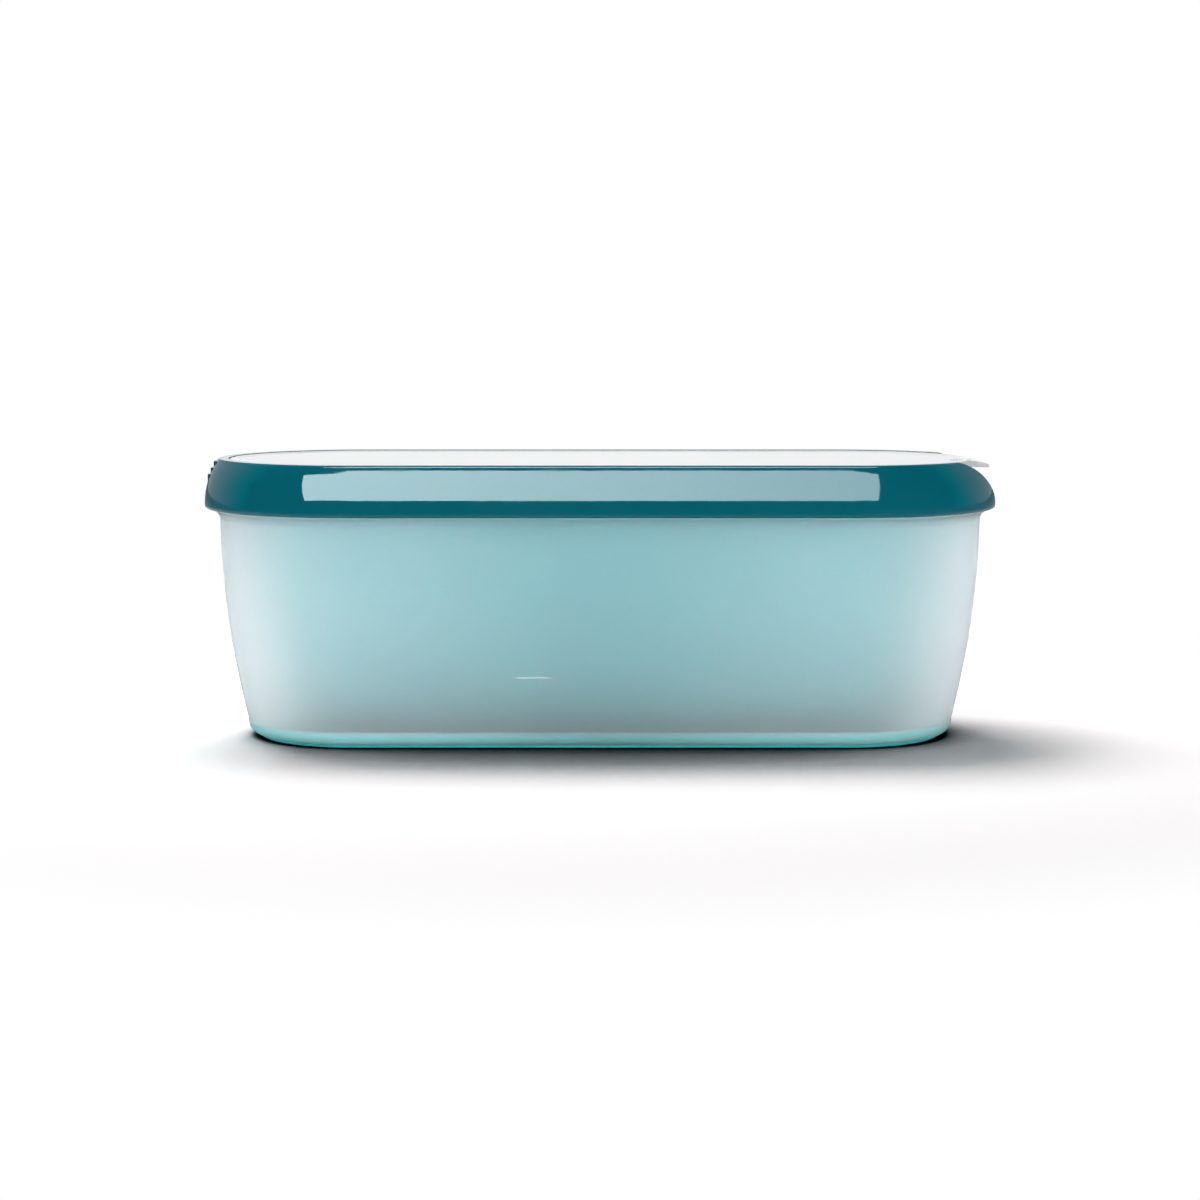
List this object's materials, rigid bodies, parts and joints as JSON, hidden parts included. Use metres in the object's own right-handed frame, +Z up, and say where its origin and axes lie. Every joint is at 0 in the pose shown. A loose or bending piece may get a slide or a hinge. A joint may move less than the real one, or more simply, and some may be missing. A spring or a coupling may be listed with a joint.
{
  "type": "ice cream tub",
  "caption": "Long, narrow, double-walled tub for storing ice cream: frosted outer shell over an inner liner, shut with a soft-rimmed lid that has a pull tab.",
  "frame": {"origin": "middle of the underside of the foot, on the surface that the tub stands on", "axes": "+X along the length towards the pull tab, +Y across the tub, +Z up through the lid"},
  "size_m": [0.2842, 0.1102, 0.1002],
  "materials": {
    "frosted_shell": "translucent frosted polypropylene",
    "teal_liner": "satin moulded polypropylene",
    "teal_foot": "matt thermoplastic rubber",
    "teal_rim": "glossy moulded thermoplastic elastomer",
    "white_panel": "satin white polypropylene"
  },
  "bodies": {
    "root": {"outer_shell": "frosted_shell", "inner_liner": "teal_liner", "foot": "teal_foot", "lid_rim": "teal_rim", "lid_panel": "white_panel"}
  },
  "joints": []
}
